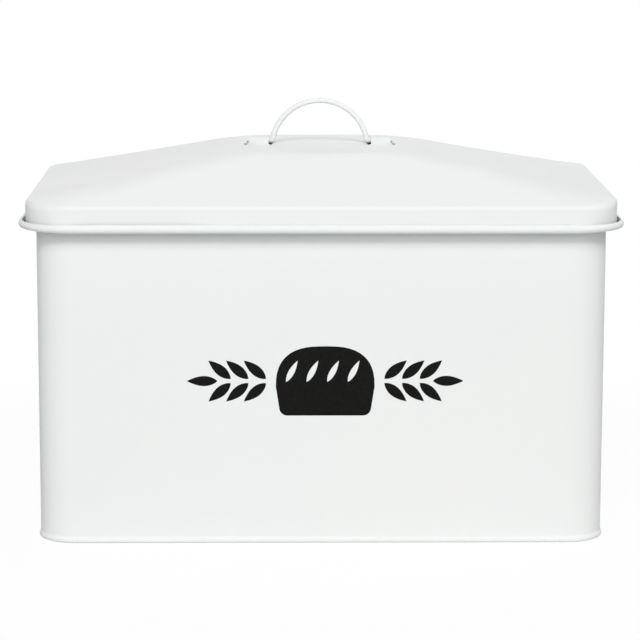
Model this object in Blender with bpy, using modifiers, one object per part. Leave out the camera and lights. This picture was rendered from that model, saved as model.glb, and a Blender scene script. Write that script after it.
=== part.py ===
# Bread bin of thin coated steel sheet with a lift-off lid and a wire hoop handle.
# Metres, +Z up. X runs along the width, the front faces -Y, and the origin is under the middle of the foot.
import math

import bmesh
import bpy
from mathutils import Matrix

# Sheet, handle wire and the air between folded layers
SHEET = 0.0007
HANDLE_WIRE = 0.0032
LAYER_GAP = 0.0003

# Box, measured across the outside of its walls and up to the top of its rolled mouth
BODY_WIDTH = 0.3240
BODY_DEPTH = 0.1980
BODY_HEIGHT = 0.1945
BODY_CORNER = 0.0210
MOUTH_ROLL = 0.0045

# Foot, where the edges of wall and base are folded into each other and pressed slightly outward
FOOT_BEND = 0.0011
FOOT_SWELL = 0.0006
FOOT_SWELL_TOP = 0.0034
FOOT_SWELL_EASE = 0.0026
FOOT_HOOK = 0.0032

# Base panel, with a shallow sunk field that stiffens it
BASE_RISE = 0.0085
BASE_BEND = 0.0020
FIELD_BORDER = 0.0160
FIELD_RAMP = 0.0050
FIELD_SUNK = 0.0012
FIELD_CORNER = 0.0090

# Folded seam up the middle of the back wall
SEAM_WIDTH = 0.0070
SEAM_PROUD = 0.0012
SEAM_ROUND = 0.0005
SEAM_FOOT_MARGIN = 0.0030
SEAM_MOUTH_MARGIN = 0.0020

# Lid: skirt, rolled edge, sloping sides and a flat panel on top
LID_FIT = 0.0015
LID_SKIRT = 0.0124
LID_SHOULDER = 0.0016
LID_EDGE_ROLL = 0.0047
LID_RISE = 0.0237
PANEL_WIDTH = 0.1030
PANEL_DEPTH = 0.1100
PANEL_CORNER = 0.0180

# Half of the softened stretch between a slope and the panel, as a share of the slope's run
PANEL_SOFT_SHARE = 0.115

# Wire hoop, and the tunnels pressed up out of the panel that hold its feet
HANDLE_RISE = 0.0247
HANDLE_RADIUS = 0.0285
HANDLE_BEND = 0.0024
HANDLE_PLAY = 0.0003
HANDLE_STICKS_OUT = 0.0015
TUNNEL_LENGTH = 0.0114
TUNNEL_FROM_BEND = 0.0002
TUNNEL_LEDGE = 0.0002

# One overrun for every cutter
OVERRUN = 0.0010

# Turns of the two rolls and of the lid's shoulder, in degrees
MOUTH_ROLL_TURN = 295
EDGE_ROLL_TURN = 300
SHOULDER_TURN = 72

# Facet counts
CORNER_STEPS = 6
ROLL_STEPS = 14
BEND_STEPS = 3
SHOULDER_STEPS = 3
SOFT_STEPS = 6
ARCH_STEPS = 12
HOOP_STEPS = 24

# Across the sheet layers, offsets count outward from the wall's outer face to a layer's middle
WALL_OUT = -SHEET / 2
LAYER_PITCH = SHEET + LAYER_GAP
SKIRT_OUT = MOUTH_ROLL - SHEET + LID_FIT + SHEET / 2

# Rolls, as radius and centre of the sheet's middle line
MOUTH_RADIUS = (MOUTH_ROLL - SHEET) / 2
MOUTH_OUT = WALL_OUT + MOUTH_RADIUS
MOUTH_HEIGHT = BODY_HEIGHT - MOUTH_ROLL / 2
EDGE_RADIUS = (LID_EDGE_ROLL - SHEET) / 2
EDGE_OUT = SKIRT_OUT + EDGE_RADIUS

# The slope starts at the end of the shoulder's bend, and the lid's end slopes rest on the rolled mouth
SHOULDER_RADIUS = LID_SHOULDER - SHEET / 2
SLOPE_OUT = SKIRT_OUT - SHOULDER_RADIUS * (1 - math.cos(math.radians(SHOULDER_TURN)))
SLOPE_GRADE = LID_RISE / (BODY_WIDTH / 2 + SLOPE_OUT - PANEL_WIDTH / 2)
SEAT_REACH = (MOUTH_ROLL / 2 + LAYER_GAP + SHEET / 2) * math.hypot(1, SLOPE_GRADE)
SLOPE_HEIGHT = MOUTH_HEIGHT + SEAT_REACH - SLOPE_GRADE * (SLOPE_OUT - MOUTH_OUT)
SHOULDER_HEIGHT = SLOPE_HEIGHT - SHOULDER_RADIUS * math.sin(math.radians(SHOULDER_TURN))
EDGE_HEIGHT = SLOPE_HEIGHT - LID_SKIRT
PANEL_TOP = SLOPE_HEIGHT + LID_RISE + SHEET / 2

# Handle, whose feet turn in the tunnels about one axis along X
HANDLE_AXIS_HEIGHT = PANEL_TOP + HANDLE_PLAY + HANDLE_WIRE / 2
HOOP_CENTRE = HANDLE_RISE - HANDLE_RADIUS
BEND_ACROSS = math.sqrt((HANDLE_RADIUS + HANDLE_BEND) ** 2 - (HANDLE_BEND - HOOP_CENTRE) ** 2)
TUNNEL_BORE = HANDLE_WIRE / 2 + HANDLE_PLAY
TUNNEL_MIDDLE = BEND_ACROSS + TUNNEL_FROM_BEND + TUNNEL_LENGTH / 2
FOOT_END = TUNNEL_MIDDLE + TUNNEL_LENGTH / 2 + HANDLE_STICKS_OUT


# Scene set-up
def clear_scene():
    for thing in list(bpy.data.objects):
        bpy.data.objects.remove(thing, do_unlink=True)


def new_collection(name):
    collection = bpy.data.collections.new(name)
    bpy.context.scene.collection.children.link(collection)
    return collection


def new_material(name, colour, roughness, metallic):
    material = bpy.data.materials.new(name)
    material.use_nodes = True
    shader = material.node_tree.nodes["Principled BSDF"]
    shader.inputs["Base Color"].default_value = (*colour, 1.0)
    shader.inputs["Roughness"].default_value = roughness
    shader.inputs["Metallic"].default_value = metallic
    return material


clear_scene()
parts = new_collection("bread_bin")
guides = new_collection("bread_bin_guides")


def add_object(name, data, collection, material=None):
    thing = bpy.data.objects.new(name, data)
    collection.objects.link(thing)
    if material is not None:
        data.materials.append(material)
    return thing


def make_guide(thing):
    thing.hide_render = True
    thing.display_type = "WIRE"
    return thing


# Outlines and sections
def rounded_outline(half_width, half_depth, radius):
    # Anticlockwise from above, starting on the right side
    across = half_width - radius
    along = half_depth - radius
    centres = ((across, along), (-across, along), (-across, -along), (across, -along))
    points = []
    for quarter, (centre_x, centre_y) in enumerate(centres):
        for step in range(CORNER_STEPS + 1):
            angle = math.pi / 2 * (quarter + step / CORNER_STEPS)
            points.append((centre_x + radius * math.cos(angle), centre_y + radius * math.sin(angle)))
    return points


def arc_points(centre, radius, start, end, steps):
    points = []
    for step in range(steps + 1):
        angle = math.radians(start + (end - start) * step / steps)
        points.append((centre[0] + radius * math.cos(angle), centre[1] + radius * math.sin(angle)))
    return points


def unit_normal(first, second):
    across = second[0] - first[0]
    up = second[1] - first[1]
    length = math.hypot(across, up)
    return (-up / length, across / length)


def sheet_section(line):
    # Closed outline of a sheet about its middle line, mitred at the corners and square at both ends
    sides = [unit_normal(first, second) for first, second in zip(line, line[1:])]
    left = []
    right = []
    for index, (across, up) in enumerate(line):
        before = sides[max(index - 1, 0)]
        after = sides[min(index, len(sides) - 1)]
        normal = ((before[0] + after[0]) / 2, (before[1] + after[1]) / 2)
        reach = SHEET / 2 / (normal[0] ** 2 + normal[1] ** 2)
        left.append((across + normal[0] * reach, up + normal[1] * reach))
        right.append((across - normal[0] * reach, up - normal[1] * reach))
    return right + left[::-1]


# Curves, sheets and cutters
def poly_curve(name, dimensions, points, closed):
    curve = bpy.data.curves.new(name, "CURVE")
    curve.dimensions = dimensions
    spline = curve.splines.new("POLY")
    spline.points.add(len(points) - 1)
    for point, place in zip(spline.points, points):
        x, y, z = (*place, 0.0)[:3]
        point.co = (x, y, z, 1.0)
    spline.use_cyclic_u = closed
    return curve


def curve_to_mesh(thing, collection):
    # The evaluated curve as a mesh, with its loose caps welded
    graph = bpy.context.evaluated_depsgraph_get()
    mesh = bpy.data.meshes.new_from_object(thing.evaluated_get(graph))
    shape = bmesh.new()
    shape.from_mesh(mesh)
    bmesh.ops.remove_doubles(shape, verts=shape.verts, dist=SHEET / 1000)
    bmesh.ops.recalc_face_normals(shape, faces=shape.faces)
    shape.to_mesh(mesh)
    shape.free()
    name = thing.name
    placed = thing.matrix_world.copy()
    bpy.data.objects.remove(thing)
    mesh.name = name
    solid = bpy.data.objects.new(name, mesh)
    collection.objects.link(solid)
    solid.matrix_world = placed
    return solid


def shade_round(mesh, angle):
    mesh.shade_smooth()
    mesh.set_sharp_from_angle(angle=math.radians(angle))


def swept_ring(name, section, material):
    # A section swept round the wall's outline. The sweep counts a guide's X inward, so the offset changes sign
    laid = [(-out, height) for out, height in section]
    guide = make_guide(add_object(name + "_section", poly_curve(name + "_section", "2D", laid, True), guides))
    path = poly_curve(name, "2D", rounded_outline(BODY_WIDTH / 2, BODY_DEPTH / 2, BODY_CORNER), True)
    path.fill_mode = "NONE"
    path.bevel_mode = "OBJECT"
    path.bevel_object = guide
    ring = curve_to_mesh(add_object(name, path, parts, material), parts)
    shade_round(ring.data, 30)
    return ring


def wire_ring(name, out, height, diameter, material):
    outline = rounded_outline(BODY_WIDTH / 2 + out, BODY_DEPTH / 2 + out, BODY_CORNER + out)
    path = poly_curve(name, "3D", outline, True)
    path.bevel_depth = diameter / 2
    path.bevel_resolution = 2
    ring = add_object(name, path, parts, material)
    ring.location.z = height
    return ring


def stacked_sheet(name, rings, material):
    # A sheet through a stack of rounded rectangles, closed over the last one
    mesh = bpy.data.meshes.new(name)
    shape = bmesh.new()
    loops = []
    for half_width, half_depth, radius, height in rings:
        outline = rounded_outline(half_width, half_depth, radius)
        loops.append([shape.verts.new((x, y, height)) for x, y in outline])
    count = len(loops[0])
    for first, second in zip(loops, loops[1:]):
        for index in range(count):
            following = (index + 1) % count
            shape.faces.new((first[index], first[following], second[following], second[index]))
    shape.faces.new(loops[-1])
    shape.to_mesh(mesh)
    shape.free()
    shade_round(mesh, 30)
    thing = add_object(name, mesh, parts, material)
    thicken = thing.modifiers.new("sheet", "SOLIDIFY")
    thicken.thickness = SHEET
    thicken.offset = 0.0
    thicken.use_even_offset = True
    return thing


def block(name, size, middle):
    mesh = bpy.data.meshes.new(name)
    shape = bmesh.new()
    bmesh.ops.create_cube(shape, size=1.0)
    bmesh.ops.scale(shape, vec=size, verts=shape.verts)
    shape.to_mesh(mesh)
    shape.free()
    thing = make_guide(add_object(name, mesh, guides))
    thing.location = middle
    return thing


def add_boolean(target, operation, tool):
    step = target.modifiers.new(tool.name, "BOOLEAN")
    step.operation = operation
    step.solver = "EXACT"
    step.object = tool


# Foot of the box
def swell(height):
    # How far the folded foot stands out at a height
    share = min(max(height - FOOT_SWELL_TOP, 0.0) / FOOT_SWELL_EASE, 1.0)
    return FOOT_SWELL * (1 + math.cos(math.pi * share)) / 2


def swelling_leg(out):
    # A layer's middle line up through the top of the swell
    steps = [FOOT_SWELL_TOP + FOOT_SWELL_EASE * step / BEND_STEPS for step in range(BEND_STEPS + 1)]
    return [(out + swell(height), height) for height in steps]


# Wall: fold at the foot, straight side, roll at the mouth
def build_wall(material):
    bend = FOOT_BEND - SHEET / 2
    outer = WALL_OUT + FOOT_SWELL
    inner = outer - 3 * LAYER_PITCH
    low = SHEET / 2 + bend
    line = [(inner, FOOT_HOOK)]
    line += arc_points((inner + bend, low), bend, 180, 270, BEND_STEPS)
    line += arc_points((outer - bend, low), bend, 270, 360, BEND_STEPS)
    line += swelling_leg(WALL_OUT)
    line += arc_points((MOUTH_OUT, MOUTH_HEIGHT), MOUTH_RADIUS, 180, 180 - MOUTH_ROLL_TURN, ROLL_STEPS)
    wall = swept_ring("body_wall", sheet_section(line), material)

    bottom = FOOT_SWELL_TOP + FOOT_SWELL_EASE + SEAM_FOOT_MARGIN
    top = BODY_HEIGHT - MOUTH_ROLL - SEAM_MOUTH_MARGIN
    thickness = SHEET / 2 + SEAM_PROUD
    back = BODY_DEPTH / 2 + SEAM_PROUD - thickness / 2
    seam = block("lock_seam", (SEAM_WIDTH, thickness, top - bottom), (0.0, back, (top + bottom) / 2))
    soften = seam.modifiers.new("rounding", "BEVEL")
    soften.width = SEAM_ROUND
    soften.segments = 2
    add_boolean(wall, "UNION", seam)
    return wall


# Base: hem inside the wall's fold, upright border, panel with a sunk field
def build_base(material):
    flange = WALL_OUT - LAYER_PITCH
    hem = flange + FOOT_SWELL - LAYER_PITCH
    hem_radius = LAYER_PITCH / 2
    hem_bottom = SHEET / 2 + LAYER_PITCH + hem_radius
    line = [(hem, FOOT_HOOK)]
    line += arc_points((hem + hem_radius, hem_bottom), hem_radius, 180, 360, 2 * BEND_STEPS)
    line += swelling_leg(flange)
    line += arc_points((flange - BASE_BEND, BASE_RISE - BASE_BEND), BASE_BEND, 0, 90, BEND_STEPS)
    border = flange - BASE_BEND - FIELD_BORDER
    line += [(border, BASE_RISE), (border - FIELD_RAMP, BASE_RISE - FIELD_SUNK)]
    rings = []
    for out, height in line:
        corner = max(BODY_CORNER + out, FIELD_CORNER)
        rings.append((BODY_WIDTH / 2 + out, BODY_DEPTH / 2 + out, corner, height))
    return stacked_sheet("base_plate", rings, material)


# Lid cover: rolled edge, skirt, shoulder, slopes that soften into the panel, tunnels for the handle
def slope_height(share):
    # Straight up the slope, then a parabola over the softened stretch
    past = 1 + PANEL_SOFT_SHARE - share
    if past > 2 * PANEL_SOFT_SHARE:
        return share
    return 1 - past ** 2 / (4 * PANEL_SOFT_SHARE)


def build_tunnel(name, middle):
    outer = TUNNEL_BORE + SHEET
    leg = HANDLE_AXIS_HEIGHT - PANEL_TOP + SHEET / 2
    outline = arc_points((0.0, 0.0), outer, 0, 180, ARCH_STEPS)
    outline += [(-outer, -leg), (-TUNNEL_BORE, -leg)]
    outline += arc_points((0.0, 0.0), TUNNEL_BORE, 180, 0, ARCH_STEPS)
    outline += [(TUNNEL_BORE, -leg), (outer, -leg)]
    arch = poly_curve(name, "2D", outline, True)
    arch.fill_mode = "BOTH"
    arch.extrude = TUNNEL_LENGTH / 2
    thing = add_object(name, arch, guides)
    thing.rotation_euler = (math.pi / 2, 0.0, math.pi / 2)
    thing.location = (middle, 0.0, HANDLE_AXIS_HEIGHT)
    bpy.context.view_layer.update()
    return make_guide(curve_to_mesh(thing, guides))


def build_lid(material):
    line = arc_points((EDGE_OUT, EDGE_HEIGHT), EDGE_RADIUS, 180 + EDGE_ROLL_TURN, 180, ROLL_STEPS)
    bend = (SKIRT_OUT - SHOULDER_RADIUS, SHOULDER_HEIGHT)
    line += arc_points(bend, SHOULDER_RADIUS, 0, SHOULDER_TURN, SHOULDER_STEPS)
    rings = []
    for out, height in line:
        rings.append((BODY_WIDTH / 2 + out, BODY_DEPTH / 2 + out, BODY_CORNER + out, height))

    low_width, low_depth, low_corner, low_height = rings[-1]
    soft_start = 1 - PANEL_SOFT_SHARE
    for step in range(SOFT_STEPS + 1):
        share = soft_start + 2 * PANEL_SOFT_SHARE * step / SOFT_STEPS
        rings.append((
            low_width + (PANEL_WIDTH / 2 - low_width) * share,
            low_depth + (PANEL_DEPTH / 2 - low_depth) * share,
            low_corner + (PANEL_CORNER - low_corner) * share,
            low_height + LID_RISE * slope_height(share),
        ))
    lid = stacked_sheet("lid_cover", rings, material)

    window_length = TUNNEL_LENGTH - 2 * TUNNEL_LEDGE
    window_width = 2 * (TUNNEL_BORE - TUNNEL_LEDGE)
    tunnels = []
    for side, middle in (("left", -TUNNEL_MIDDLE), ("right", TUNNEL_MIDDLE)):
        size = (window_length, window_width, SHEET + 2 * OVERRUN)
        window = block("window_" + side, size, (middle, 0.0, PANEL_TOP - SHEET / 2))
        add_boolean(lid, "DIFFERENCE", window)
        tunnels.append(build_tunnel("tunnel_" + side, middle))
    for tunnel in tunnels:
        add_boolean(lid, "UNION", tunnel)
    return lid


# Handle: two straight feet, two tight bends and one round hoop, standing upright
def build_handle(material):
    turn = math.degrees(math.atan2(HANDLE_BEND - HOOP_CENTRE, BEND_ACROSS))
    left = [(-FOOT_END, 0.0)]
    left += arc_points((-BEND_ACROSS, HANDLE_BEND), HANDLE_BEND, -90, -turn, 2 * BEND_STEPS)
    hoop = arc_points((0.0, HOOP_CENTRE), HANDLE_RADIUS, 180 - turn, turn, HOOP_STEPS)
    right = [(-across, up) for across, up in reversed(left)]
    route = left + hoop[1:-1] + right
    wire = poly_curve("handle_bail", "3D", [(across, 0.0, up) for across, up in route], False)
    wire.bevel_depth = HANDLE_WIRE / 2
    wire.bevel_resolution = 2
    wire.use_fill_caps = True
    handle = add_object("handle_bail", wire, parts, material)
    handle.location.z = HANDLE_AXIS_HEIGHT
    return handle


def hang_on(parent, child):
    child.parent = parent
    child.matrix_parent_inverse = Matrix.Translation(parent.location).inverted()


def build():
    coat = new_material("off_white_coat", (0.86, 0.86, 0.85), 0.32, 0.0)
    steel = new_material("drawn_steel_wire", (0.56, 0.56, 0.57), 0.38, 1.0)
    build_wall(coat)
    build_base(coat)
    wire_ring("rim_wire", MOUTH_OUT, MOUTH_HEIGHT, MOUTH_ROLL - 2 * LAYER_PITCH, steel)
    lid = build_lid(coat)
    lid_wire = wire_ring("lid_wire", EDGE_OUT, EDGE_HEIGHT, LID_EDGE_ROLL - 2 * LAYER_PITCH, steel)
    handle = build_handle(coat)

    # The lid rises along this empty's axis and takes its wire and its handle with it
    lift = bpy.data.objects.new("lid_lift", None)
    parts.objects.link(lift)
    lift.location.z = BODY_HEIGHT
    for piece in (lid, lid_wire, handle):
        hang_on(lift, piece)


build()
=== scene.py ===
import math

import bmesh
import bpy
from mathutils import Matrix, Vector


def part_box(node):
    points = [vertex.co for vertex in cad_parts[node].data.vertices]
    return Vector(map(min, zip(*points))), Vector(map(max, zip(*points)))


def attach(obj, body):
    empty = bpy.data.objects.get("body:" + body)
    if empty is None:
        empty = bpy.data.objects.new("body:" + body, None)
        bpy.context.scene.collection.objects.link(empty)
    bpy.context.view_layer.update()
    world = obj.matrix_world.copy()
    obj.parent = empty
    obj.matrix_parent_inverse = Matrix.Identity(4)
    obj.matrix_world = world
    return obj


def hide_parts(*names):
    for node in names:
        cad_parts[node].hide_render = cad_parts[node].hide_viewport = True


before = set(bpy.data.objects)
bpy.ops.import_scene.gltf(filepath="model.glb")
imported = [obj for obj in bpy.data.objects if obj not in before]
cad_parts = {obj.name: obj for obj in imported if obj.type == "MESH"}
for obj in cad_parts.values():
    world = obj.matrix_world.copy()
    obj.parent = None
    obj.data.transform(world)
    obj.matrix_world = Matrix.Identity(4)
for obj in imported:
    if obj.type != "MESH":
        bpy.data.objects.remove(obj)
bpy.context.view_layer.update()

# Sheet, and the outline of the box's walls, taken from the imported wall
sheetLook = {
    "thickness": 0.0007,
    "layerGap": 0.0003,  # air between folded layers
    "wallCorner": 0.0210,
    "leastCorner": 0.0045,  # for outlines far inside the walls
    "mouthRoll": 0.0045,
    "cornerSteps": 20,
    "acrossLines": 15,  # upright mesh lines along the front and the back
    "alongLines": 9,  # and along each end
}
sheet = sheetLook["thickness"]
layerPitch = sheet + sheetLook["layerGap"]
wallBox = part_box("body_wall")
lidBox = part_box("lid_cover")
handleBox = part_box("handle_bail")
halfWidth = wallBox[1].x - (sheetLook["mouthRoll"] - sheet)
halfDepth = wallBox[1].y - (sheetLook["mouthRoll"] - sheet)
wallCorner = sheetLook["wallCorner"]


# Outlines and sections
def makeStations(acrossShares, alongShares, cornerSteps):
    # Places round a rounded rectangle, anticlockwise from the right side: corner centre share and normal
    stations = []
    sides = (
        [(1, share) for share in alongShares],
        [(-share, 1) for share in acrossShares],
        [(-1, -share) for share in alongShares],
        [(share, -1) for share in acrossShares],
    )
    corners = ((1, 1), (-1, 1), (-1, -1), (1, -1))
    for quarter, (side, corner) in enumerate(zip(sides, corners)):
        turn = quarter * math.pi / 2
        for place in side:
            stations.append((*place, math.cos(turn), math.sin(turn)))
        for step in range(cornerSteps + 1):
            angle = turn + math.pi / 2 * step / cornerSteps
            stations.append((*corner, math.cos(angle), math.sin(angle)))
    return stations


def stationPoint(station, width, depth, corner):
    # Point of the outline with these half sizes
    shareX, shareY, normalX, normalY = station
    return (
        shareX * (width - corner) + normalX * corner,
        shareY * (depth - corner) + normalY * corner,
    )


def outwardSpot(station, out, height):
    # Point this far outside the walls' outline, whose corners widen with it
    corner = max(wallCorner + out, sheetLook["leastCorner"])
    x, y = stationPoint(station, halfWidth + out, halfDepth + out, corner)
    return (x, y, height)


def arc(centre, radius, start, end, steps):
    points = []
    for step in range(steps + 1):
        angle = math.radians(start + (end - start) * step / steps)
        points.append((centre[0] + radius * math.cos(angle), centre[1] + radius * math.sin(angle)))
    return points


def ease(share):
    share = min(max(share, 0.0), 1.0)
    return share * share * (3 - 2 * share)


def evenly(start, end, count):
    return [start + (end - start) * index / (count - 1) for index in range(count)]


# Meshes; edges bent by more than these angles, in degrees, keep their crease
creaseLook = {"sheet": 35, "tube": 50, "seam": 40}


def newPiece(name, mesh, material, body, slot, *nodes):
    piece = bpy.data.objects.new(name, mesh)
    bpy.context.scene.collection.objects.link(piece)
    mesh.materials.clear()
    mesh.materials.append(material)
    if nodes:
        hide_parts(*nodes)
    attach(piece, body)
    print("piece:", name, len(mesh.polygons), "faces")


def smooth(mesh, crease):
    mesh.shade_smooth()
    mesh.set_sharp_from_angle(angle=math.radians(crease))


def addRow(shape, rows, spots):
    rows.append([shape.verts.new(spot) for spot in spots])


def loftRows(shape, rows):
    # Quads between rows of vertices; each row runs once round the piece
    for first, second in zip(rows, rows[1:]):
        count = len(first)
        for index in range(count):
            following = (index + 1) % count
            shape.faces.new((first[index], first[following], second[following], second[index]))


def finishShape(name, shape):
    bmesh.ops.recalc_face_normals(shape, faces=shape.faces)
    mesh = bpy.data.meshes.new(name)
    shape.to_mesh(mesh)
    shape.free()
    return mesh


def thickened(name, mesh, cutters=()):
    # The sheet given its thickness about its middle line, cut, and made final
    worker = bpy.data.objects.new(name + "_worker", mesh)
    bpy.context.scene.collection.objects.link(worker)
    solid = worker.modifiers.new("sheet", "SOLIDIFY")
    solid.thickness = sheet
    solid.offset = 0.0
    solid.use_even_offset = True
    for cutter in cutters:
        cut = worker.modifiers.new("cut", "BOOLEAN")
        cut.operation = "DIFFERENCE"
        cut.solver = "EXACT"
        cut.object = cutter
    graph = bpy.context.evaluated_depsgraph_get()
    final = bpy.data.meshes.new_from_object(worker.evaluated_get(graph))
    final.name = name
    for thing in (worker, *cutters):
        bpy.data.objects.remove(thing)
    smooth(final, creaseLook["sheet"])
    return final


def prism(name, outline, low, high):
    # Upright block over an outline, used as a cutter
    shape = bmesh.new()
    rows = []
    for level in (low, high):
        addRow(shape, rows, [(x, y, level) for x, y in outline])
    loftRows(shape, rows)
    shape.faces.new(rows[0])
    shape.faces.new(rows[1])
    cutter = bpy.data.objects.new(name, finishShape(name, shape))
    bpy.context.scene.collection.objects.link(cutter)
    return cutter


def tube(name, path, radii, sides, closed=False):
    # Round wire along a flat path; of each point's two radii the first is square to the path's plane
    shape = bmesh.new()
    rows = []
    count = len(path)
    for index, place in enumerate(path):
        before = path[index - 1] if closed else path[max(index - 1, 0)]
        after = path[(index + 1) % count] if closed else path[min(index + 1, count - 1)]
        along = (Vector(after) - Vector(before)).normalized()
        aside = Vector((0, 0, 1)) if closed else Vector((0, 1, 0))
        across = along.cross(aside).normalized()
        aside = across.cross(along).normalized()
        wide, tall = radii[index]
        spots = []
        for step in range(sides):
            angle = 2 * math.pi * step / sides
            spots.append(Vector(place) + aside * wide * math.cos(angle) + across * tall * math.sin(angle))
        addRow(shape, rows, spots)
    if closed:
        rows.append(rows[0])
    loftRows(shape, rows)
    if not closed:
        shape.faces.new(rows[0])
        shape.faces.new(rows[-1])
    mesh = finishShape(name, shape)
    smooth(mesh, creaseLook["tube"])
    return mesh


# Materials; the stretch of a noise's values that a ramp or a range is laid over
noiseLook = {"ramp": (0.35, 0.65), "range": (0.3, 0.7)}


def newMaterial(name):
    material = bpy.data.materials.new(name)
    material.use_nodes = True
    nodes = material.node_tree.nodes
    return material, nodes, material.node_tree.links, nodes["Principled BSDF"]


def addNoise(nodes, links, place, scale, detail, roughness=0.5):
    noise = nodes.new("ShaderNodeTexNoise")
    noise.inputs["Scale"].default_value = scale
    noise.inputs["Detail"].default_value = detail
    noise.inputs["Roughness"].default_value = roughness
    links.new(place, noise.inputs["Vector"])
    return noise.outputs["Fac"]


def addRamp(nodes, links, source, low, high):
    ramp = nodes.new("ShaderNodeValToRGB")
    start, end = noiseLook["ramp"]
    ramp.color_ramp.elements[0].position = start
    ramp.color_ramp.elements[0].color = (*low, 1)
    ramp.color_ramp.elements[1].position = end
    ramp.color_ramp.elements[1].color = (*high, 1)
    links.new(source, ramp.inputs["Fac"])
    return ramp.outputs["Color"]


def addRange(nodes, links, source, low, high):
    spread = nodes.new("ShaderNodeMapRange")
    start, end = noiseLook["range"]
    spread.inputs["From Min"].default_value = start
    spread.inputs["From Max"].default_value = end
    spread.inputs["To Min"].default_value = low
    spread.inputs["To Max"].default_value = high
    links.new(source, spread.inputs["Value"])
    return spread.outputs["Result"]


def addBump(nodes, links, height, strength, distance, below=None):
    bump = nodes.new("ShaderNodeBump")
    bump.inputs["Strength"].default_value = strength
    bump.inputs["Distance"].default_value = distance
    links.new(height, bump.inputs["Height"])
    if below is not None:
        links.new(below, bump.inputs["Normal"])
    return bump.outputs["Normal"]


coatLook = {
    "coolWhite": (0.846, 0.868, 0.861),
    "warmWhite": (0.858, 0.868, 0.856),
    "roughness": (0.52, 0.62),
    "shine": 0.22,
    "cloud": {"scale": 7.0, "detail": 2.0},  # faint patches of tone
    "gloss": {"scale": 28.0, "detail": 3.0},
    "wave": {"scale": 26.0, "detail": 1.0},  # slow waves of the thin sheet
    "waveHeight": 0.00018,
    "waveStrength": 0.35,
    "waveOnWire": 0.2,  # share of the waves that the coated wire keeps
    "peel": {"scale": 620.0, "detail": 2.0},  # fine dimples of the sprayed coat
    "peelHeight": 0.000012,
    "peelStrength": 0.5,
}


def makeCoat(name, waveShare):
    material, nodes, links, shader = newMaterial(name)
    place = nodes.new("ShaderNodeTexCoord").outputs["Object"]
    cloud = addNoise(nodes, links, place, **coatLook["cloud"])
    colour = addRamp(nodes, links, cloud, coatLook["coolWhite"], coatLook["warmWhite"])
    links.new(colour, shader.inputs["Base Color"])
    gloss = addNoise(nodes, links, place, **coatLook["gloss"])
    roughness = addRange(nodes, links, gloss, *coatLook["roughness"])
    links.new(roughness, shader.inputs["Roughness"])
    wave = addNoise(nodes, links, place, **coatLook["wave"])
    peel = addNoise(nodes, links, place, **coatLook["peel"])
    waved = addBump(nodes, links, wave, coatLook["waveStrength"] * waveShare, coatLook["waveHeight"])
    peeled = addBump(nodes, links, peel, coatLook["peelStrength"], coatLook["peelHeight"], waved)
    links.new(peeled, shader.inputs["Normal"])
    shader.inputs["Specular IOR Level"].default_value = coatLook["shine"]
    return material


wireLook = {
    # Both steel tones are darker than bare steel: partly dull unsprayed steel, partly painted shade for
    # the open rolled edges
    "steel": (0.27, 0.26, 0.26),
    "darkSteelAndShade": (0.15, 0.14, 0.13),
    "roughness": (0.34, 0.52),
    "grain": {"scale": 900.0, "detail": 4.0, "roughness": 0.7},
    "grainHeight": 0.0000175,
    "grainStrength": 0.4,
    "patch": {"scale": 30.0, "detail": 3.0},
    "sides": 14,
}


def makeWireSteel():
    # Drawn wire: fine streaks and a few duller patches; its steel is kept much darker than bare steel,
    # partly dull unsprayed steel and partly painted shade where it shows in the rolled edges' open gaps
    material, nodes, links, shader = newMaterial("drawnWire")
    place = nodes.new("ShaderNodeTexCoord").outputs["Object"]
    grain = addNoise(nodes, links, place, **wireLook["grain"])
    patch = addNoise(nodes, links, place, **wireLook["patch"])
    colour = addRamp(nodes, links, patch, wireLook["darkSteelAndShade"], wireLook["steel"])
    links.new(colour, shader.inputs["Base Color"])
    links.new(addRange(nodes, links, grain, *wireLook["roughness"]), shader.inputs["Roughness"])
    grained = addBump(nodes, links, grain, wireLook["grainStrength"], wireLook["grainHeight"])
    links.new(grained, shader.inputs["Normal"])
    shader.inputs["Metallic"].default_value = 1.0
    return material


inkLook = {
    "black": (0.0058, 0.0060, 0.0056),
    "thinInk": (0.0090, 0.0095, 0.0085),
    "roughness": (0.50, 0.62),
    "shine": 0.06,
    "grain": {"scale": 700.0, "detail": 3.0},
    "grainHeight": 0.000012,
    "grainStrength": 0.4,
}


def makeInk():
    # Screen-printed enamel: nearly even black with a faint grain
    material, nodes, links, shader = newMaterial("blackPrint")
    place = nodes.new("ShaderNodeTexCoord").outputs["Object"]
    grain = addNoise(nodes, links, place, **inkLook["grain"])
    colour = addRamp(nodes, links, grain, inkLook["black"], inkLook["thinInk"])
    links.new(colour, shader.inputs["Base Color"])
    links.new(addRange(nodes, links, grain, *inkLook["roughness"]), shader.inputs["Roughness"])
    grained = addBump(nodes, links, grain, inkLook["grainStrength"], inkLook["grainHeight"])
    links.new(grained, shader.inputs["Normal"])
    shader.inputs["Specular IOR Level"].default_value = inkLook["shine"]
    return material


coat = makeCoat("offWhiteCoat", 1.0)
wireCoat = makeCoat("offWhiteCoatOnWire", coatLook["waveOnWire"])
wireSteel = makeWireSteel()
ink = makeInk()
print("materials made")

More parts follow.
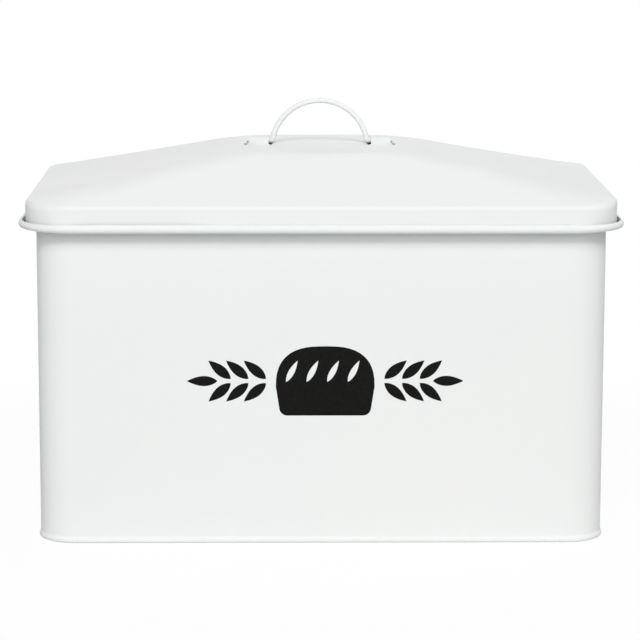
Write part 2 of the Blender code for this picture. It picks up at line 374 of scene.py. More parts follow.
# Lid: rolled edge, skirt, shoulder, slopes, and a flat panel with two pressed tunnels for the handle
lidLook = {
    "fit": 0.0015,  # air between the skirt and the box's mouth
    "skirt": 0.0124,
    "skirtLines": 5,
    "shoulder": 0.0026,
    "shoulderAtCorner": 0.0044,
    "shoulderSteps": 10,
    "edgeRoll": 0.0047,
    "rollSteps": 30,
    "cornerPinch": 0.10,  # the roll is drawn tighter round the corners
    "rise": 0.0237,
    "panelWidth": 0.1030,
    "panelDepth": 0.1100,
    "panelCorner": 0.0180,
    "slopeFoot": 0.7,  # how far in the slopes would meet the skirt's top, as a share of the shoulder
    "slopeProbe": 0.15,  # the grade at the slopes' foot is measured over this share of them
    "slopeSteps": 12,
    "slopeSpacing": 1.2,  # mesh rows lie closer together at the slopes' foot
    "softShare": 0.135,  # half of the soft stretch between slope and panel, as a share of the slope
    "crownOnLeft": 0.0009,  # how far the end slopes stand above a straight line, at their foot
    "crownOnRight": 0.0018,  # the photographed lid bulges more at this end
    "crownShare": 0.7,
    "halvings": 30,
    "gapAtCorner": 0.0016,  # how far the rolled edge stays open
    "gapAtCornerReach": 0.040,
    "gapTurnFrom": 0.30,  # it begins to open where this much of the outward direction is along X
    "gapTurnOver": 0.35,
    "gapOnSides": 0.00025,
    "gapOnFront": 0.0011,
    "gapFrontMiddle": -0.108,
    "gapFrontReach": 0.045,  # fully open over the inner half of this
}
skirtOut = sheetLook["mouthRoll"] - sheet + lidLook["fit"] + sheet / 2
edgeRadius = (lidLook["edgeRoll"] - sheet) / 2
edgeOut = skirtOut + edgeRadius
edgeHeight = lidBox[0].z + lidLook["edgeRoll"] / 2
slopeHeight = edgeHeight + lidLook["skirt"]
slopeOut = skirtOut - (lidLook["shoulder"] - sheet / 2) * lidLook["slopeFoot"]
panelHeight = slopeHeight + lidLook["rise"]

# Swellings pressed up over the handle's feet, with a slot at each end, as (inner, outer) places along X
tunnelLook = {
    "innerSlot": (0.0280, 0.0299),
    "outerSlot": (0.0415, 0.0449),
    "innerReach": 0.0066,
    "outerReach": 0.0046,
    "slant": 0.0006,  # the inner slots run aslant: nearer the middle at the back
    "slotSteps": 10,
    "roof": 0.00415,
    "plateau": 0.0012,
    "midReach": 0.0110,
    "jump": 0.0000875,  # mesh lines this near on both sides of a slot's middle, where the swelling ends
    "middleLines": 5,
    "roofLines": 8,
    "flankLines": 15,
    "frontLines": 9,
}


def swellingAt(x, y):
    # Height of the swelling above the panel: a flat-topped ridge, widest halfway between its slots
    inner = sum(tunnelLook["innerSlot"]) / 2
    outer = sum(tunnelLook["outerSlot"]) / 2
    share = (abs(x) - inner) / (outer - inner)
    if not 0 < share < 1:
        return 0.0
    innerReach, outerReach = tunnelLook["innerReach"], tunnelLook["outerReach"]
    ends = innerReach + (outerReach - innerReach) * share - sheet / 2
    reach = ends + (tunnelLook["midReach"] - ends) * math.sin(math.pi * share)
    plateau = tunnelLook["plateau"]
    return tunnelLook["roof"] * (1 - ease((abs(y) - plateau) / (reach - plateau)))


def softHeight(share):
    # Straight up the slope, then a parabola over the softened stretch, then flat
    soft = lidLook["softShare"]
    past = 1 + soft - share
    if past > 2 * soft:
        return share
    return 1 - max(past, 0.0) ** 2 / (4 * soft)


def slopeRing(share):
    low = (halfWidth + slopeOut, halfDepth + slopeOut, wallCorner + slopeOut)
    top = (lidLook["panelWidth"] / 2, lidLook["panelDepth"] / 2, lidLook["panelCorner"])
    return [first + (second - first) * share for first, second in zip(low, top)]


def shareAt(x, y):
    # Which ring of the slopes passes through a place on the lid
    low, high = 0.0, 1 + lidLook["softShare"]
    for _ in range(lidLook["halvings"]):
        middle = (low + high) / 2
        width, depth, corner = slopeRing(middle)
        aside = max(abs(x) - (width - corner), 0.0)
        along = max(abs(y) - (depth - corner), 0.0)
        inside = min(max(abs(x) - (width - corner), abs(y) - (depth - corner)), 0.0)
        if math.hypot(aside, along) + inside - corner > 0:
            high = middle
        else:
            low = middle
    return low


def mirrored(lines):
    return [-line for line in reversed(lines[1:])] + lines


def panelLines(widthLeft, depthLeft):
    # Mesh lines over the panel, close together where the swellings and their slots are
    inner, outer = tunnelLook["innerSlot"], tunnelLook["outerSlot"]
    jump = tunnelLook["jump"]
    innerMiddle = (inner[0] + inner[1]) / 2
    outerMiddle = (outer[0] + outer[1]) / 2
    across = evenly(0.0, inner[0], tunnelLook["middleLines"])
    across += [innerMiddle - jump, innerMiddle + jump]
    across += evenly(inner[1], outer[0], tunnelLook["roofLines"])
    across += [outerMiddle - jump, outerMiddle + jump, widthLeft]
    flank = evenly(0.0, tunnelLook["midReach"], tunnelLook["flankLines"])
    along = flank + evenly(flank[-1], depthLeft, tunnelLook["frontLines"])[1:]
    return mirrored(across), mirrored(along)


def slopeHeightAt(share, normalX):
    crown = lidLook["crownOnRight"] if normalX > 0 else lidLook["crownOnLeft"]
    crown *= normalX ** 2 * max(1 - share / lidLook["crownShare"], 0.0) ** 2
    return slopeHeight + lidLook["rise"] * softHeight(share) + crown


def shoulderLine(station, turned):
    # From the skirt's top round to the slope, as (outward, height), with a wider bend at the corners
    widening = (lidLook["shoulderAtCorner"] - lidLook["shoulder"]) * ease(turned)
    radius = lidLook["shoulder"] + widening - sheet / 2
    normalX, normalY = station[2:]
    probe = lidLook["slopeProbe"]
    low = stationPoint(station, *slopeRing(0.0))
    high = stationPoint(station, *slopeRing(probe))
    run = (low[0] - high[0]) * normalX + (low[1] - high[1]) * normalY
    climb = (slopeHeightAt(probe, normalX) - slopeHeightAt(0.0, normalX)) / run
    turn = 90 - math.degrees(math.atan(climb))
    end = skirtOut - radius * (1 - math.cos(math.radians(turn)))
    endHeight = slopeHeightAt(0.0, normalX) + (slopeOut - end) * climb
    centre = (skirtOut - radius, endHeight - radius * math.sin(math.radians(turn)))
    return arc(centre, radius, 0, turn, lidLook["shoulderSteps"])


def edgeGap(x, y, normalX):
    # The hand-rolled edge stays open round the corners and closes along the sides
    inward = max(halfDepth - wallCorner - abs(y), 0.0) / lidLook["gapAtCornerReach"]
    turned = (abs(normalX) - lidLook["gapTurnFrom"]) / lidLook["gapTurnOver"]
    cornerShare = ease(turned) * ease(1 - inward)
    gap = lidLook["gapOnSides"] + (lidLook["gapAtCorner"] - lidLook["gapOnSides"]) * cornerShare
    if y < 0:
        near = 1 - abs(x - lidLook["gapFrontMiddle"]) / lidLook["gapFrontReach"]
        gap = max(gap, lidLook["gapOnFront"] * ease(2 * near))
    return gap


def addRolledEdge(shape, rows, stations, turns):
    # From the roll's free end round to the foot of the skirt
    steps = lidLook["rollSteps"]
    for level in range(steps + 1):
        spots = []
        for station, turned in zip(stations, turns):
            x, y = stationPoint(station, halfWidth, halfDepth, wallCorner)
            gap = edgeGap(x, y, station[2])
            radius = edgeRadius * (1 - lidLook["cornerPinch"] * ease(turned))
            free = math.degrees(math.acos((gap + sheet) / radius - 1))
            angle = math.radians(360 + free + (180 - 360 - free) * level / steps)
            out = edgeOut + radius * math.cos(angle)
            spots.append(outwardSpot(station, out, edgeHeight + radius * math.sin(angle)))
        addRow(shape, rows, spots)


def addSlopes(shape, rows, stations, turns):
    # Skirt, shoulder and slopes, up to the soft stretch round the panel
    shoulders = [shoulderLine(station, turned) for station, turned in zip(stations, turns)]
    for level in evenly(0, 1, lidLook["skirtLines"])[1:-1]:
        spots = []
        for station, line in zip(stations, shoulders):
            height = edgeHeight + (line[0][1] - edgeHeight) * level
            spots.append(outwardSpot(station, skirtOut, height))
        addRow(shape, rows, spots)
    for level in range(lidLook["shoulderSteps"] + 1):
        spots = [outwardSpot(station, *line[level]) for station, line in zip(stations, shoulders)]
        addRow(shape, rows, spots)
    start = 1 - lidLook["softShare"]
    for step in range(1, lidLook["slopeSteps"]):
        share = start * (step / lidLook["slopeSteps"]) ** lidLook["slopeSpacing"]
        spots = []
        for station in stations:
            x, y = stationPoint(station, *slopeRing(share))
            spots.append((x, y, slopeHeightAt(share, station[2])))
        addRow(shape, rows, spots)


def gridLines(shares, half):
    # Mesh lines across the panel, as (share of its straight part, share of its rounded corner)
    lines = [(shares[0], -step / half) for step in range(half, 0, -1)]
    lines += [(share, 0.0) for share in shares]
    lines += [(shares[-1], step / half) for step in range(1, half + 1)]
    return lines


def panelSpot(column, line, ring):
    # Where two mesh lines cross; over a corner they follow rings round its centre
    width, depth, corner = ring
    shareX, sideX = column
    shareY, sideY = line
    reach = max(abs(sideX), abs(sideY))
    if abs(sideX) >= abs(sideY):
        angle = math.pi / 4 * (abs(sideY) / reach if reach else 0)
    else:
        angle = math.pi / 2 - math.pi / 4 * abs(sideX) / reach
    outX = math.copysign(corner * reach * math.cos(angle), sideX) * bool(sideX)
    outY = math.copysign(corner * reach * math.sin(angle), sideY) * bool(sideY)
    x = shareX * (width - corner) + outX
    y = shareY * (depth - corner) + outY
    return (x, y, slopeHeightAt(shareAt(x, y), 0.0) + swellingAt(x, y))


def addPanel(shape, rows, columns, lines, ring):
    # Grid over the panel, whose rounded border is the slopes' last row
    grid = {}
    for column, columnPlace in enumerate(columns):
        for line, linePlace in enumerate(lines):
            grid[column, line] = shape.verts.new(panelSpot(columnPlace, linePlace, ring))
    lastColumn, lastLine = len(columns) - 1, len(lines) - 1
    for column in range(lastColumn):
        for line in range(lastLine):
            corners = ((column, line), (column + 1, line), (column + 1, line + 1), (column, line + 1))
            shape.faces.new([grid[place] for place in corners])

    # In the order of the stations: right end backward, back leftward, left end forward, front rightward
    half = sheetLook["cornerSteps"] // 2
    border = [grid[lastColumn, line] for line in range(half + 1, lastLine)]
    border += [grid[column, lastLine] for column in range(lastColumn, 0, -1)]
    border += [grid[0, line] for line in range(lastLine, 0, -1)]
    border += [grid[column, 0] for column in range(0, lastColumn)]
    border += [grid[lastColumn, line] for line in range(0, half + 1)]
    rows.append(border)


def slotCutters():
    cutters = []
    for side in (-1, 1):
        for end, slant in (("inner", -side * tunnelLook["slant"]), ("outer", 0.0)):
            first, last = tunnelLook[end + "Slot"]
            middle, radius = side * (first + last) / 2, (last - first) / 2
            reach = tunnelLook[end + "Reach"] - radius
            outline = arc((middle + slant, reach), radius, 0, 180, tunnelLook["slotSteps"])
            outline += arc((middle - slant, -reach), radius, 180, 360, tunnelLook["slotSteps"])
            cutters.append(prism("slot", outline, slopeHeight, panelHeight + lidLook["rise"]))
    return cutters


def buildLid():
    ring = slopeRing(1 - lidLook["softShare"])
    width, depth, corner = ring
    across, along = panelLines(width - corner, depth - corner)
    acrossShares = [line / (width - corner) for line in across]
    alongShares = [line / (depth - corner) for line in along]
    steps = sheetLook["cornerSteps"]
    stations = makeStations(acrossShares[1:-1], alongShares[1:-1], steps)

    # How far round a corner each station is: 0 on a side, 1 in the middle of the corner
    turns = [abs(station[2] * station[3]) * 2 for station in stations]
    columns = gridLines(acrossShares, steps // 2)
    lines = gridLines(alongShares, steps // 2)

    shape = bmesh.new()
    rows = []
    addRolledEdge(shape, rows, stations, turns)
    addSlopes(shape, rows, stations, turns)
    addPanel(shape, rows, columns, lines, ring)
    loftRows(shape, rows)
    mesh = finishShape("lidSheet", shape)
    newPiece("lidSheet", thickened("lidSheet", mesh, slotCutters()), coat, "lid", "coat", "lid_cover")


buildLid()

# Box wall: folded foot, straight side, rolled mouth
wallLook = {
    "footBend": 0.0011,
    "footHook": 0.0032,  # top of the edge folded back up inside
    "footSwell": 0.0008,  # how far the foot stands out from the straight side
    "swellFoot": 0.0013,  # height where the swelling's leg starts, above the foot's bend
    "swellTop": 0.0017,  # height where it begins to ease back
    "swellEase": 0.0023,
    "mouthTurn": 295,  # degrees that the mouth is rolled round its wire
    "bendSteps": 6,
    "rollSteps": 24,
    "sideLines": 9,
}
wallHeight = wallBox[1].z
wallOut = -sheet / 2
mouthRadius = (sheetLook["mouthRoll"] - sheet) / 2
mouthOut = wallOut + mouthRadius
mouthHeight = wallHeight - sheetLook["mouthRoll"] / 2
acrossShares = evenly(-1, 1, sheetLook["acrossLines"])
alongShares = evenly(-1, 1, sheetLook["alongLines"])
plainStations = makeStations(acrossShares[1:-1], alongShares[1:-1], sheetLook["cornerSteps"])


def swellAt(height):
    return wallLook["footSwell"] * (1 - ease((height - wallLook["swellTop"]) / wallLook["swellEase"]))


def swellingLeg(out, steps):
    top = wallLook["swellTop"] + wallLook["swellEase"]
    heights = evenly(wallLook["swellFoot"], top, steps)
    return [(out + swellAt(height), height) for height in heights]


def sheetRound(name, line, body, node, cap=False):
    # Sheet whose middle line, as (outward, height), runs round the walls' outline
    shape = bmesh.new()
    rows = []
    for place in line:
        addRow(shape, rows, [outwardSpot(station, *place) for station in plainStations])
    loftRows(shape, rows)
    if cap:
        shape.faces.new(rows[-1])
    mesh = thickened(name, finishShape(name, shape))
    newPiece(name, mesh, coat, body, "coat", node)


def buildWall():
    bend = wallLook["footBend"] - sheet / 2
    outer = wallOut + wallLook["footSwell"]
    inner = outer - 3 * layerPitch
    low = sheet / 2 + bend
    line = [(inner, wallLook["footHook"])]
    line += arc((inner + bend, low), bend, 180, 270, wallLook["bendSteps"])
    line += arc((outer - bend, low), bend, 270, 360, wallLook["bendSteps"])
    line += swellingLeg(wallOut, 2 * wallLook["bendSteps"])
    top = wallLook["swellTop"] + wallLook["swellEase"]
    line += [(wallOut, height) for height in evenly(top, mouthHeight, wallLook["sideLines"])[1:-1]]
    mouthEnd = 180 - wallLook["mouthTurn"]
    line += arc((mouthOut, mouthHeight), mouthRadius, 180, mouthEnd, wallLook["rollSteps"])
    sheetRound("boxWall", line, "bin", "body_wall")


buildWall()

# Base: hem inside the wall's fold, upright border, panel with a sunk field
baseLook = {
    "rise": 0.0085,
    "bend": 0.0020,
    "border": 0.0160,  # flat edge round the sunk field
    "ramp": 0.0050,
    "sunk": 0.0012,
    "bendSteps": 6,
    "rampSteps": 6,
}


def buildBase():
    flange = wallOut - layerPitch
    hem = flange + wallLook["footSwell"] - layerPitch
    hemRadius = layerPitch / 2
    hemBottom = sheet / 2 + layerPitch + hemRadius
    line = [(hem, wallLook["footHook"])]
    line += arc((hem + hemRadius, hemBottom), hemRadius, 180, 360, 2 * wallLook["bendSteps"])

    # The hem takes the place of the swelling leg's lower half
    line += swellingLeg(flange, wallLook["bendSteps"])[wallLook["bendSteps"] // 2:]
    bend = baseLook["bend"]
    line += arc((flange - bend, baseLook["rise"] - bend), bend, 0, 90, baseLook["bendSteps"])
    border = flange - bend - baseLook["border"]
    line.append(((flange - bend + border) / 2, baseLook["rise"]))
    for step in range(baseLook["rampSteps"] + 1):
        share = step / baseLook["rampSteps"]
        line.append((border - baseLook["ramp"] * share, baseLook["rise"] - baseLook["sunk"] * ease(share)))
    sheetRound("basePanel", line, "bin", "base_plate", cap=True)


buildBase()

# Lock seam up the middle of the back wall: a joggle on one side, a folded edge on the other
seamLook = {
    "width": 0.0070,
    "proud": 0.0012,
    "bottom": 0.0090,
    "belowMouth": 0.0065,
    "joggle": (0.1, 0.9),  # the drawn stretch of the joggle's curve
    "joggleLines": 7,
    "foldEnd": -35,
    "foldSteps": 9,
    "endRamp": 0.0060,
    "endLift": 0.06,  # share of its thickness that the seam keeps at its ends
    "rampLines": 7,
    "sideLines": 7,
}


def buildSeam():
    half = seamLook["width"] / 2
    proud = seamLook["proud"]
    fold = proud / 2
    buried = -sheet / 2
    section = [(-half, buried), (-half, 0.0)]
    for share in evenly(*seamLook["joggle"], seamLook["joggleLines"]):
        section.append((-half + 2 * fold * share, proud * ease(share)))
    section += arc((half - fold, fold), fold, 90, seamLook["foldEnd"], seamLook["foldSteps"])
    section.append((half - fold, buried))
    top = wallHeight - seamLook["belowMouth"]
    bottom = seamLook["bottom"]
    ramp = seamLook["endRamp"]
    heights = evenly(bottom, bottom + ramp, seamLook["rampLines"])[:-1]
    heights += evenly(bottom + ramp, top - ramp, seamLook["sideLines"])
    heights += evenly(top - ramp, top, seamLook["rampLines"])[1:]
    shape = bmesh.new()
    rows = []
    for height in heights:
        raised = ease(min(height - bottom, top - height) / ramp)
        lift = raised * (1 - seamLook["endLift"]) + seamLook["endLift"]
        spots = []
        for across, out in section:
            spots.append((-across, halfDepth + (out * lift if out > 0 else out), height))
        addRow(shape, rows, spots)
    loftRows(shape, rows)
    shape.faces.new(rows[0])
    shape.faces.new(rows[-1])
    mesh = finishShape("lockSeam", shape)
    smooth(mesh, creaseLook["seam"])
    newPiece("lockSeam", mesh, coat, "bin", "coat")


buildSeam()


# Wires inside the two rolled edges
def buildEdgeWire(name, out, height, roll, body, node):
    radius = roll / 2 - layerPitch
    path = [outwardSpot(station, out, height) for station in plainStations]
    mesh = tube(name, path, [(radius, radius)] * len(path), wireLook["sides"], closed=True)
    newPiece(name, mesh, wireSteel, body, "wire", node)


buildEdgeWire("mouthWire", mouthOut, mouthHeight, sheetLook["mouthRoll"], "bin", "rim_wire")
buildEdgeWire("lidEdgeWire", edgeOut, edgeHeight, lidLook["edgeRoll"], "lid", "lid_wire")

# Handle: round wire hoop whose swaged feet turn in the tunnels
handleLook = {
    "wire": 0.0032,
    "settle": 0.0009,  # the hoop's top lies this much lower than its frame
    "hoop": 0.0285,
    "bend": 0.0018,
    "hoopSteps": 56,
    "bendSteps": 10,
    "sides": 24,
    "footPlaces": (0.6, 0.25),  # mesh rings of the straight foot, as shares of its length
    "tipLength": 0.0011,
    "tipPlaces": (0.0, 0.2, 0.8, 1.5),  # mesh rings of the tip, in tip lengths from the wire's end
    "tipWide": 1.30,  # swaged tip, as shares of the wire's radius
    "tipFlat": 0.72,
    "tipRound": (0.8, 0.7),  # its first ring, as shares of the tip's width and thickness
}


def buildHandle():
    radius = handleLook["wire"] / 2
    axisHeight = handleBox[0].z + radius
    rise = handleBox[1].z - radius - axisHeight - handleLook["settle"]
    drop = rise - handleLook["hoop"]
    bend = handleLook["bend"]
    reach = handleLook["hoop"] + bend
    across = math.sqrt(reach ** 2 - (bend - drop) ** 2)
    turn = math.degrees(math.atan2(bend - drop, across))
    end = handleBox[1].x
    tip = handleLook["tipLength"]
    left = [(-end + tip * place, 0.0) for place in handleLook["tipPlaces"]]
    foot = end - tip * handleLook["tipPlaces"][-1] - across
    left += [(-across - foot * share, 0.0) for share in handleLook["footPlaces"]]
    left += arc((-across, bend), bend, -90, -turn, handleLook["bendSteps"])
    hoop = arc((0.0, drop), handleLook["hoop"], 180 - turn, turn, handleLook["hoopSteps"])
    route = left + hoop[1:-1] + [(-x, z) for x, z in reversed(left)]
    path = [(x, 0.0, axisHeight + z) for x, z in route]
    wide, flat = handleLook["tipWide"], handleLook["tipFlat"]
    roundWide, roundFlat = handleLook["tipRound"]
    swage = [(wide * roundWide, flat * roundFlat), (wide, flat), (wide, flat), (1.0, 1.0)]
    middle = [(1.0, 1.0)] * (len(path) - 2 * len(swage))
    radii = [(radius * first, radius * second) for first, second in swage + middle + swage[::-1]]
    mesh = tube("handleHoop", path, radii, handleLook["sides"])
    newPiece("handleHoop", mesh, wireCoat, "handle", "coat", "handle_bail")


buildHandle()

# Print on the front: a scored loaf between two ears of wheat
printLook = {
    "middle": (0.0019, 0.0944),
    "thickness": 0.00008,
    "proudShare": 0.4,  # how far its middle stands out from the wall, in thicknesses
    "weld": 0.0000008,
    "loafWidth": 0.0560,
    "loafHeight": 0.0400,
    "loafBase": 0.93,  # the base's width, as a share of the loaf's
    "loafFoot": 0.0045,
    "footTurn": 82,
    "footSteps": 6,
    "loafWaist": 0.42,  # height of the widest place, as a share of the loaf's
    "crust": (0.72, 0.80),  # powers that square the crust's half round, across and upward
    "crustSteps": 24,
    "cuts": 4,
    "cutLength": 0.0140,
    "cutWidth": 0.0034,
    "cutTurn": 62,
    "cutShift": 0.38,  # sideways, in spacings of the cuts
    "cutMargin": 0.8,  # spacings left over beside the cuts
    "cutRise": 0.14,  # above the loaf's middle, as a share of its height
    "leafPowers": (0.85, 0.9),  # they move a leaf's widest place toward its base and fill its sides
    "leafSteps": 12,
    "earStart": 0.0335,
    "grainLength": 0.0165,
    "grainWidth": 0.0058,
    "grainTurn": 40,
    "grainPitch": 0.0100,
    "grainPairs": 3,
    "grainAside": 0.00121,  # from the ear's middle line
    "lastGrainBack": 0.25,  # in pitches
    "lastGrainLength": 1.05,  # as a share of the others
}


def leafOutline(x, y, length, width, turn):
    # Pointed leaf from its base point, turned anticlockwise by turn degrees
    points = []
    steps = printLook["leafSteps"]
    lean, fullness = printLook["leafPowers"]
    cosine, sine = math.cos(math.radians(turn)), math.sin(math.radians(turn))
    for step in range(2 * steps):
        share = step / steps if step <= steps else 2 - step / steps
        side = 1 if step < steps else -1
        along = length * share
        aside = 0.0
        if 0 < share < 1:
            aside = -side * width / 2 * math.sin(math.pi * share ** lean) ** fullness
        points.append((x + along * cosine - aside * sine, y + along * sine + aside * cosine))
    return points


def loafOutline():
    half = printLook["loafWidth"] / 2
    height = printLook["loafHeight"]
    foot = printLook["loafFoot"]
    bottom = -height / 2
    waist = bottom + height * printLook["loafWaist"]
    base = half * printLook["loafBase"]
    turn, footSteps = printLook["footTurn"], printLook["footSteps"]
    powerAcross, powerUp = printLook["crust"]
    points = arc((base - foot, bottom + foot), foot, -90, turn - 90, footSteps)
    for step in range(printLook["crustSteps"] + 1):
        angle = math.pi * step / printLook["crustSteps"]
        across = math.copysign(abs(math.cos(angle)) ** powerAcross, math.cos(angle))
        up = math.sin(angle) ** powerUp
        points.append((half * across, waist + (height / 2 - waist) * up))
    points += arc((foot - base, bottom + foot), foot, 270 - turn, 270, footSteps)
    return points


def cutOutlines():
    # Slanting cuts across the loaf, side by side
    cuts = printLook["cuts"]
    turn = math.radians(printLook["cutTurn"])
    length = printLook["cutLength"]
    spacing = printLook["loafWidth"] / (cuts + printLook["cutMargin"])
    outlines = []
    for index in range(cuts):
        x = (index - cuts / 2 + printLook["cutShift"]) * spacing - length / 2 * math.cos(turn)
        y = printLook["loafHeight"] * printLook["cutRise"] - length / 2 * math.sin(turn)
        outlines.append(leafOutline(x, y, length, printLook["cutWidth"], printLook["cutTurn"]))
    return outlines


def earOutlines(side):
    # Ear of wheat pointing away from the loaf: pairs of grains and a single one at its tip
    facing = 0 if side > 0 else 180
    length, width = printLook["grainLength"], printLook["grainWidth"]
    start, pitch, pairs = printLook["earStart"], printLook["grainPitch"], printLook["grainPairs"]
    outlines = []
    for index in range(pairs):
        x = side * (start + index * pitch)
        for up in (-1, 1):
            turned = facing + side * up * printLook["grainTurn"]
            outlines.append(leafOutline(x, up * printLook["grainAside"], length, width, turned))
    x = side * (start + (pairs - printLook["lastGrainBack"]) * pitch)
    outlines.append(leafOutline(x, 0.0, length * printLook["lastGrainLength"], width, facing))
    return outlines


def buildPrint():
    curve = bpy.data.curves.new("frontPrint", "CURVE")
    curve.dimensions = "2D"
    curve.fill_mode = "BOTH"
    curve.extrude = printLook["thickness"] / 2
    for outline in (loafOutline(), *cutOutlines(), *earOutlines(-1), *earOutlines(1)):
        spline = curve.splines.new("POLY")
        spline.points.add(len(outline) - 1)
        for point, (x, y) in zip(spline.points, outline):
            point.co = (x, y, 0.0, 1.0)
        spline.use_cyclic_u = True
    worker = bpy.data.objects.new("frontPrint_worker", curve)
    bpy.context.scene.collection.objects.link(worker)
    worker.rotation_euler.x = math.pi / 2
    middleX, middleZ = printLook["middle"]
    worker.location = (middleX, -halfDepth - printLook["thickness"] * printLook["proudShare"], middleZ)
    bpy.context.view_layer.update()
    graph = bpy.context.evaluated_depsgraph_get()
    mesh = bpy.data.meshes.new_from_object(worker.evaluated_get(graph))
    mesh.transform(worker.matrix_world)
    bpy.data.objects.remove(worker)
    shape = bmesh.new()
    shape.from_mesh(mesh)
    bmesh.ops.remove_doubles(shape, verts=shape.verts, dist=printLook["weld"])
    newPiece("frontPrint", finishShape("frontPrint", shape), ink, "bin", "print")


buildPrint()

# Camera at the photograph's place, found from the outline of lid, box and handle
cameraLook = {
    "place": (-0.0246, -1.5825, 0.3924),
    "lookDown": 10.049,  # degrees, like the turn to the right and the roll
    "turn": 0.906,
    "roll": 0.12,
    "pixelFocal": 2670.3,  # focal length in pixels of the photograph's width
    "imageWidth": 640,
    "sensor": 36.0,
}


def buildCamera():
    data = bpy.data.cameras.new("camera")
    data.sensor_width = cameraLook["sensor"]
    data.lens = cameraLook["pixelFocal"] * cameraLook["sensor"] / cameraLook["imageWidth"]
    camera = bpy.data.objects.new("camera", data)
    bpy.context.scene.collection.objects.link(camera)
    aim = Matrix.Rotation(-math.radians(cameraLook["turn"]), 3, "Z")
    aim @= Matrix.Rotation(math.radians(90 - cameraLook["lookDown"]), 3, "X")
    aim @= Matrix.Rotation(math.radians(cameraLook["roll"]), 3, "Z")
    camera.location = cameraLook["place"]
    camera.rotation_euler = aim.to_euler()
    bpy.context.scene.camera = camera


buildCamera()

# Light: a small key lamp, soft boxes in front, higher up, at both ends and behind, and an even sky
lightLook = {
    "sky": 0.12,
    "distance": 8.0,
    "lamps": {  # turns from the front to the right and rises from the level, in degrees
        "key": {"level": 0.152, "turn": 4, "rise": 38, "size": (0.65, 0.80)},
        "front": {"level": 0.535, "turn": -5, "rise": 34, "size": (5.2, 6.0)},
        "high": {"level": 0.156, "turn": 0, "rise": 42, "size": (2.0, 2.0)},
        "left": {"level": 0.094, "turn": -100, "rise": 40, "size": (3.5, 3.5)},
        "right": {"level": 0.214, "turn": 100, "rise": 40, "size": (3.5, 3.5)},
        "back": {"level": 0.146, "turn": 180, "rise": 35, "size": (5.9, 2.8)},
    },
}


def buildLamp(name, look):
    data = bpy.data.lights.new(name + "Lamp", "AREA")
    data.shape = "RECTANGLE"
    data.size, data.size_y = look["size"]
    distance = lightLook["distance"]
    data.energy = look["level"] * math.pi ** 2 * distance ** 2  # the same light at any distance
    lamp = bpy.data.objects.new(name + "Lamp", data)
    bpy.context.scene.collection.objects.link(lamp)
    target = Vector((0.0, 0.0, wallHeight / 2))
    rise, turn = math.radians(look["rise"]), math.radians(look["turn"])
    away = Vector((math.sin(turn) * math.cos(rise), -math.cos(turn) * math.cos(rise), math.sin(rise)))
    lamp.location = target + away * distance
    lamp.rotation_euler = away.to_track_quat("Z", "Y").to_euler()


def buildSky():
    # Even light from all round, with plain white where the camera or a reflection sees it
    world = bpy.data.worlds.new("studio")
    bpy.context.scene.world = world
    world.use_nodes = True
    nodes, links = world.node_tree.nodes, world.node_tree.links
    nodes.clear()
    output = nodes.new("ShaderNodeOutputWorld")
    mix = nodes.new("ShaderNodeMixShader")
    sky = nodes.new("ShaderNodeBackground")
    white = nodes.new("ShaderNodeBackground")
    sky.inputs["Strength"].default_value = lightLook["sky"]
    white.inputs["Strength"].default_value = 1.0
    for background in (sky, white):
        background.inputs["Color"].default_value = (1, 1, 1, 1)
    path = nodes.new("ShaderNodeLightPath")
    seen = path.outputs["Is Camera Ray"]
    for ray in ("Is Glossy Ray", "Is Transmission Ray"):
        either = nodes.new("ShaderNodeMath")
        either.operation = "MAXIMUM"
        links.new(seen, either.inputs[0])
        links.new(path.outputs[ray], either.inputs[1])
        seen = either.outputs[0]
    links.new(seen, mix.inputs[0])
    links.new(sky.outputs[0], mix.inputs[1])
    links.new(white.outputs[0], mix.inputs[2])
    links.new(mix.outputs[0], output.inputs["Surface"])


for lampName, lampLook in lightLook["lamps"].items():
    buildLamp(lampName, lampLook)
buildSky()

# Floor that fades into the white ground away from the bin
floorLook = {
    "radius": 3.0,
    "bounce": (0.72, 0.72, 0.72),  # as the bin sees it
    "shown": (0.95, 0.95, 0.95),  # as the camera sees it
    "nearGlow": 0.93,  # share of plain white in what the camera sees near the bin
    "fadeStart": 0.25,
    "fadeEnd": 0.55,
    "roughness": 0.9,
    "sides": 96,
}


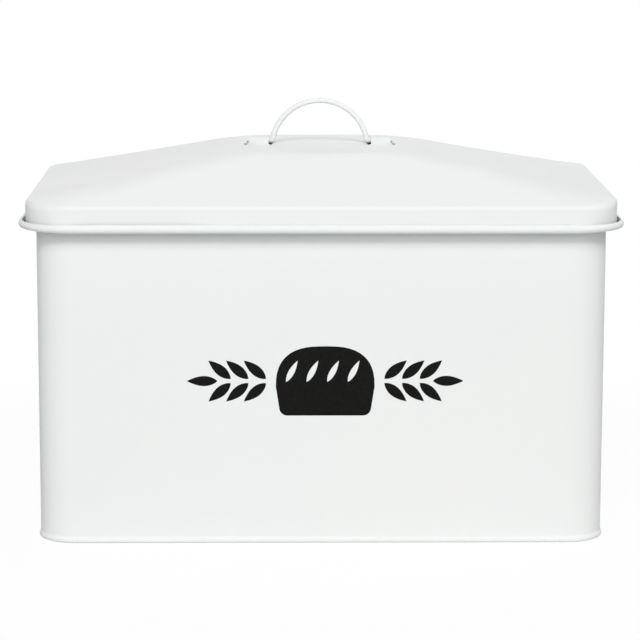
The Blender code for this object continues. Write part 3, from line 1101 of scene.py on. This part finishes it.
def makePaleFloor():
    # The floor's own shade near the bin, glowing into plain white further out for the camera alone
    material, nodes, links, shader = newMaterial("paleFloor")
    path = nodes.new("ShaderNodeLightPath")
    shade = nodes.new("ShaderNodeMix")
    shade.data_type = "RGBA"
    shade.inputs["A"].default_value = (*floorLook["bounce"], 1)
    shade.inputs["B"].default_value = (*floorLook["shown"], 1)
    links.new(path.outputs["Is Camera Ray"], shade.inputs["Factor"])
    links.new(shade.outputs["Result"], shader.inputs["Base Color"])
    shader.inputs["Roughness"].default_value = floorLook["roughness"]
    shader.inputs["Specular IOR Level"].default_value = 0.0
    place = nodes.new("ShaderNodeTexCoord").outputs["Object"]
    length = nodes.new("ShaderNodeVectorMath")
    length.operation = "LENGTH"
    links.new(place, length.inputs[0])
    fade = nodes.new("ShaderNodeMapRange")
    fade.interpolation_type = "SMOOTHSTEP"
    fade.inputs["From Min"].default_value = floorLook["fadeStart"]
    fade.inputs["From Max"].default_value = floorLook["fadeEnd"]
    fade.inputs["To Min"].default_value = floorLook["nearGlow"]
    fade.inputs["To Max"].default_value = 1.0
    links.new(length.outputs["Value"], fade.inputs["Value"])
    seen = nodes.new("ShaderNodeMath")
    seen.operation = "MULTIPLY"
    links.new(path.outputs["Is Camera Ray"], seen.inputs[0])
    links.new(fade.outputs["Result"], seen.inputs[1])
    glow = nodes.new("ShaderNodeEmission")
    glow.inputs["Strength"].default_value = 1.0
    mix = nodes.new("ShaderNodeMixShader")
    links.new(seen.outputs[0], mix.inputs[0])
    links.new(shader.outputs[0], mix.inputs[1])
    links.new(glow.outputs[0], mix.inputs[2])
    links.new(mix.outputs[0], nodes["Material Output"].inputs["Surface"])
    return material


def buildFloor():
    shape = bmesh.new()
    outline = arc((0.0, 0.0), floorLook["radius"], 0, 360, floorLook["sides"])[:-1]
    shape.faces.new([shape.verts.new((x, y, 0.0)) for x, y in outline])
    mesh = finishShape("floor", shape)
    mesh.materials.append(makePaleFloor())
    floor = bpy.data.objects.new("floor", mesh)
    bpy.context.scene.collection.objects.link(floor)


buildFloor()
bpy.context.scene.view_settings.view_transform = "Standard"
print("camera, lamps and floor set")
